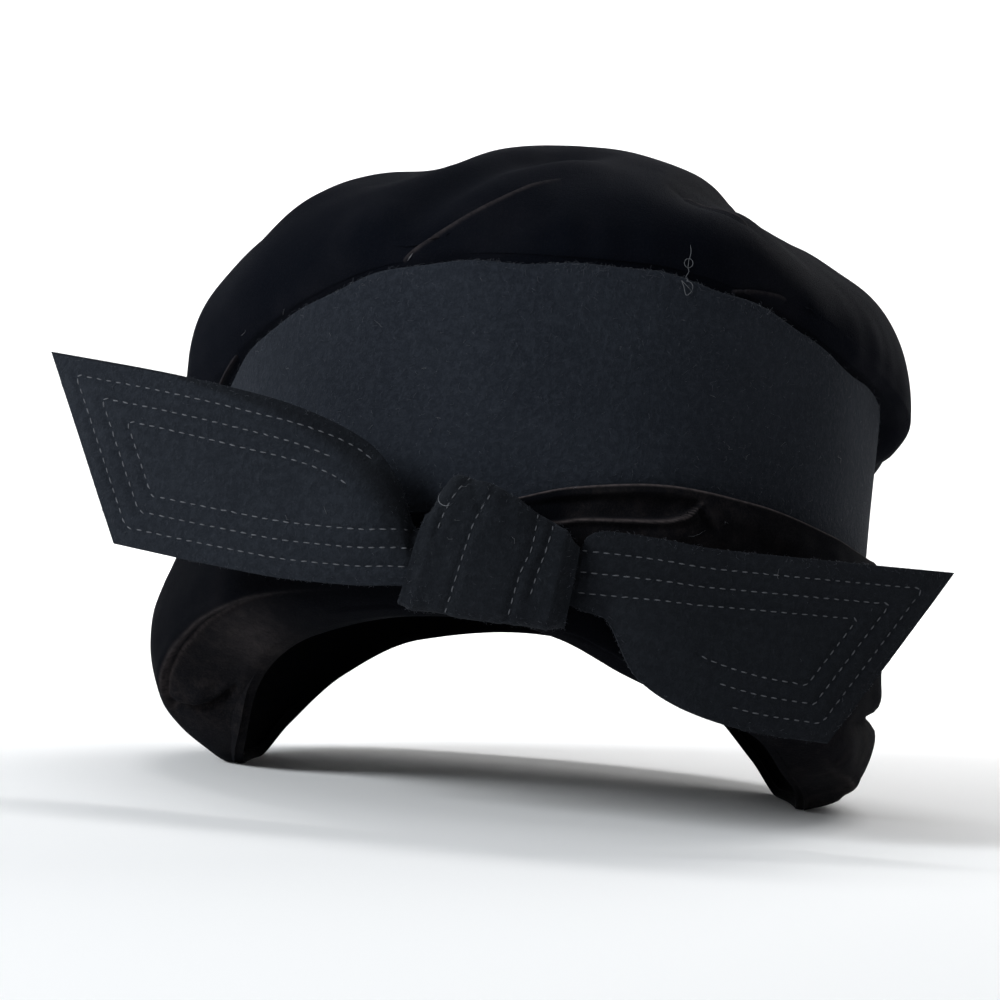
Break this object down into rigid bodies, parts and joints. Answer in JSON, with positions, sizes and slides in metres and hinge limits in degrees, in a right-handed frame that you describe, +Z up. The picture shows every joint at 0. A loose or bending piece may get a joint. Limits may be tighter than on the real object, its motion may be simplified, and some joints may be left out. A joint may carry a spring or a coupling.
{
  "type": "velvet hat",
  "caption": "Soft velvet hat with a puffed crown, a tall upturned felt cuff, a draped velvet band arched over the brow, and a stitched felt bow in front.",
  "frame": {"origin": "middle of the hat's outline in plan, on the surface the soft sides of its band rest on", "axes": "+Z up through the crown, -Y towards the front with the bow, +X to the right as seen from the front"},
  "size_m": [0.2194, 0.2332, 0.1705],
  "materials": {
    "crown_velvet": "black cotton or silk velvet, soft pile, dull with a faint cool sheen at grazing angles",
    "cuff_felt": "navy-black wool felt, matte, with light fibres on the surface",
    "band_velvet": "brownish-black velvet, soft pile, a warm sheen on its folds",
    "bow_felt": "navy-black wool felt in two layers, with rows of light-grey topstitching"
  },
  "bodies": {
    "root": {"velvet_crown": "crown_velvet", "felt_cuff": "cuff_felt", "velvet_band": "band_velvet", "bow_left_tail": "bow_felt", "bow_right_tail": "bow_felt", "bow_knot": "bow_felt"}
  },
  "joints": []
}
